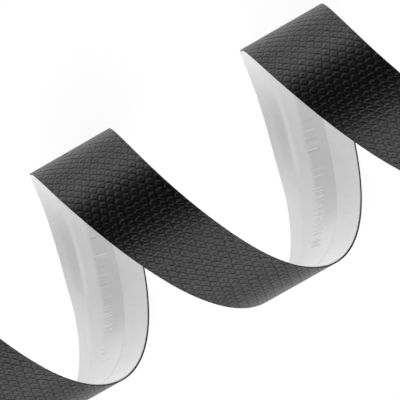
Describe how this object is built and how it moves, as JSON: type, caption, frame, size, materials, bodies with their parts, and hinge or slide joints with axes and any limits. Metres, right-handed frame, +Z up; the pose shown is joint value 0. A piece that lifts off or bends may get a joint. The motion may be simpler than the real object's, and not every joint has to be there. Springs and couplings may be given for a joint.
{
  "type": "grip tape coil",
  "caption": "Cushioned grip tape for a racket handle, embossed outside with a foam back and a lined adhesive strip, lying as a loose open coil.",
  "frame": {"origin": "under the middle of the coil's box, on the surface it rests on", "axes": "+X along the coil's axis towards its larger end, +Y across it, +Z up"},
  "size_m": [0.4332, 0.0686, 0.0596],
  "materials": {
    "skin": "black polyurethane, satin, embossed with small scales",
    "foam": "white fine-celled foam, matt",
    "adhesive": "milky pressure-sensitive adhesive on a thin carrier",
    "liner": "pale release film, low gloss, slightly wrinkled"
  },
  "bodies": {
    "root": {"grip_skin": "skin", "foam_cushion": "foam", "adhesive_strip": "adhesive", "release_liner": "liner"}
  },
  "joints": []
}
